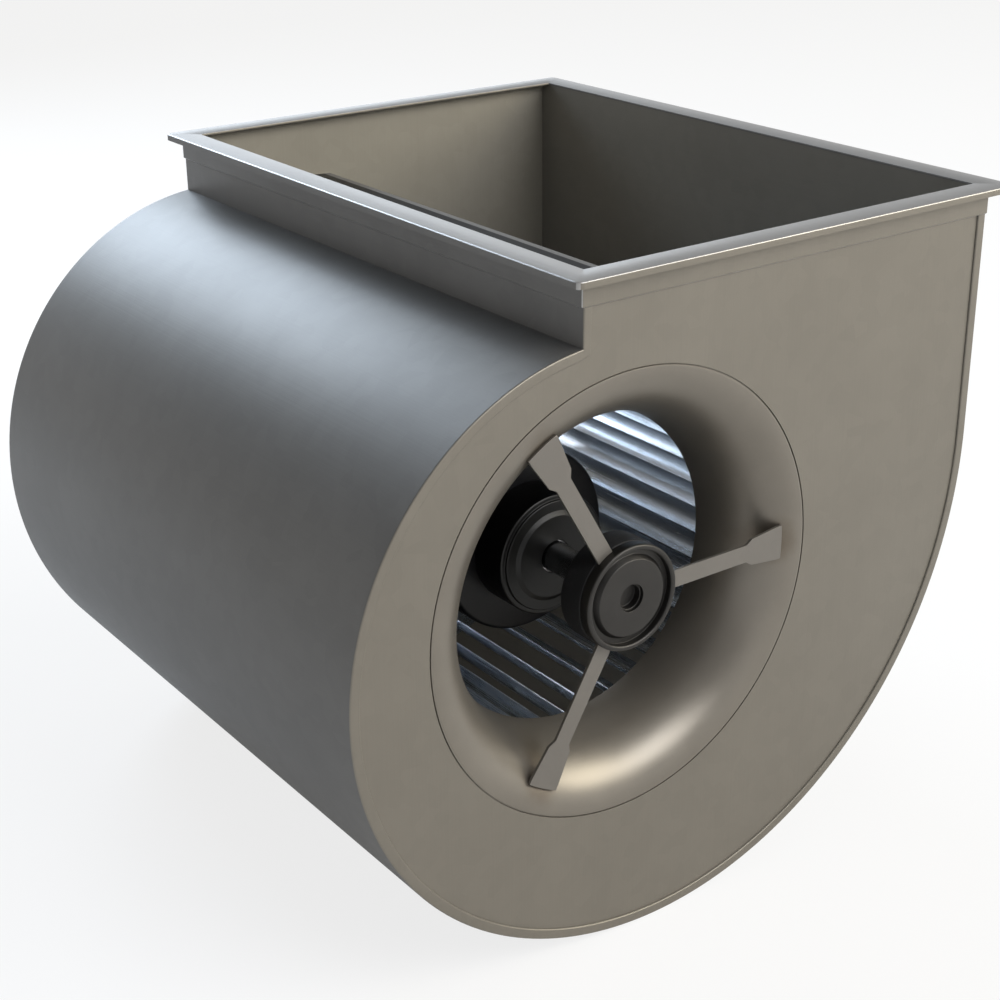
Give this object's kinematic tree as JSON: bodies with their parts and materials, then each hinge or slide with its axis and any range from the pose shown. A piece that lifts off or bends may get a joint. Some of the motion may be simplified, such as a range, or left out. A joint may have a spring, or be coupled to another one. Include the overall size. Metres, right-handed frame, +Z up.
{
  "type": "centrifugal blower",
  "caption": "Double-inlet centrifugal blower: spiral sheet-metal housing with a flanged outlet, bell inlets and a forward-curved blade wheel turned by a motor inside it.",
  "frame": {"origin": "centre of the outlet flange's top face", "axes": "+Z up out of the outlet, square to the flange; Y along the axle, the front inlet on the -Y side; +X towards the side of the outlet that the air leaves along, away from the cutoff"},
  "size_m": [0.5239, 0.5, 0.4564],
  "materials": {
    "side_sheet": "brushed",
    "wrapper_sheet": "brushed",
    "flange_sheet": "brushed",
    "arm_steel": "satin",
    "hub_metal": "satin",
    "rubber": "matte",
    "axle_steel": "turned",
    "spring_steel": "satin",
    "bearing_steel": "polished",
    "dish_metal": "cast and turned",
    "motor_black": "gloss",
    "rotor_iron": "satin",
    "stator_iron": "laminated",
    "winding": "enamelled wire",
    "wheel_steel": "galvanised"
  },
  "bodies": {
    "housing": {"arm_front_1": "arm_steel", "arm_front_2": "arm_steel", "arm_front_3": "arm_steel", "arm_rear_1": "arm_steel", "arm_rear_2": "arm_steel", "arm_rear_3": "arm_steel", "axle": "axle_steel", "axle_clips": "spring_steel", "bearing_inner_ring_front": "bearing_steel", "bearing_inner_ring_rear": "bearing_steel", "bush_sleeve_front": "axle_steel", "bush_sleeve_rear": "axle_steel", "cutoff_plate": "wrapper_sheet", "hub_cap_front": "hub_metal", "hub_cap_rear": "hub_metal", "inlet_bell_front": "side_sheet", "inlet_bell_rear": "side_sheet", "outlet_flange": "flange_sheet", "rubber_bush_front": "rubber", "rubber_bush_rear": "rubber", "scroll_wrapper": "wrapper_sheet", "side_plate_front": "side_sheet", "side_plate_rear": "side_sheet", "stator_core": "stator_iron", "stator_windings": "winding"},
    "wheel": {"bearing_balls_front": "bearing_steel", "bearing_balls_rear": "bearing_steel", "bearing_housing_front": "dish_metal", "bearing_housing_rear": "dish_metal", "bearing_outer_ring_front": "bearing_steel", "bearing_outer_ring_rear": "bearing_steel", "blades_front": "wheel_steel", "blades_rear": "wheel_steel", "hub_rivets": "spring_steel", "rotor_cage": "rotor_iron", "rotor_end_cap_front": "motor_black", "rotor_end_cap_rear": "motor_black", "rotor_shell": "motor_black", "wheel_disc": "wheel_steel", "wheel_hub": "wheel_steel", "wheel_ring_front": "wheel_steel", "wheel_ring_rear": "wheel_steel"}
  },
  "joints": [
    {"name": "wheel_spin", "type": "hinge", "parent": "housing", "child": "wheel", "pos_m": [-0.13458, 0, -0.2115], "axis": [0, -1, 0], "continuous": true}
  ]
}
